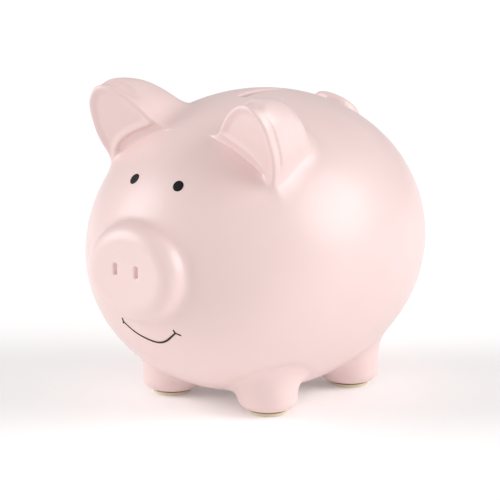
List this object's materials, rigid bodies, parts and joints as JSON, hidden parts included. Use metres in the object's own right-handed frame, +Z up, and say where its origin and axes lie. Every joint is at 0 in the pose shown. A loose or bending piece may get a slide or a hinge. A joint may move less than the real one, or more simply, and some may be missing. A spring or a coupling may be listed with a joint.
{
  "type": "piggy bank",
  "caption": "Round glazed ceramic piggy bank on four stubby legs, with folded ears, oval snout, coin slot, curled tail and belly stopper.",
  "frame": {"origin": "on the floor, under the middle of the outer box", "axes": "+Z up, +Y towards the tail along the body, +X to the pig's left"},
  "size_m": [0.153, 0.198, 0.1616],
  "materials": {
    "pink_glaze": "satin",
    "black_enamel": "gloss",
    "brown_enamel": "satin",
    "cream_felt": "matte",
    "adhesive": "matte",
    "stopper_rubber": "matte"
  },
  "bodies": {
    "bank": {"body_shell": "pink_glaze", "snout": "pink_glaze", "left_ear": "pink_glaze", "right_ear": "pink_glaze", "tail": "pink_glaze", "front_left_leg": "pink_glaze", "front_right_leg": "pink_glaze", "rear_left_leg": "pink_glaze", "rear_right_leg": "pink_glaze", "left_eye": "black_enamel", "right_eye": "black_enamel", "mouth_line": "brown_enamel", "front_left_pad": "cream_felt", "front_right_pad": "cream_felt", "rear_left_pad": "cream_felt", "rear_right_pad": "cream_felt", "front_left_pad_adhesive": "adhesive", "front_right_pad_adhesive": "adhesive", "rear_left_pad_adhesive": "adhesive", "rear_right_pad_adhesive": "adhesive"},
    "bung": {"stopper": "stopper_rubber"}
  },
  "joints": [
    {"name": "stopper_pull", "type": "slide", "parent": "bank", "child": "bung", "axis": [0, 0, -1], "range_m": [0, 0.03]}
  ]
}
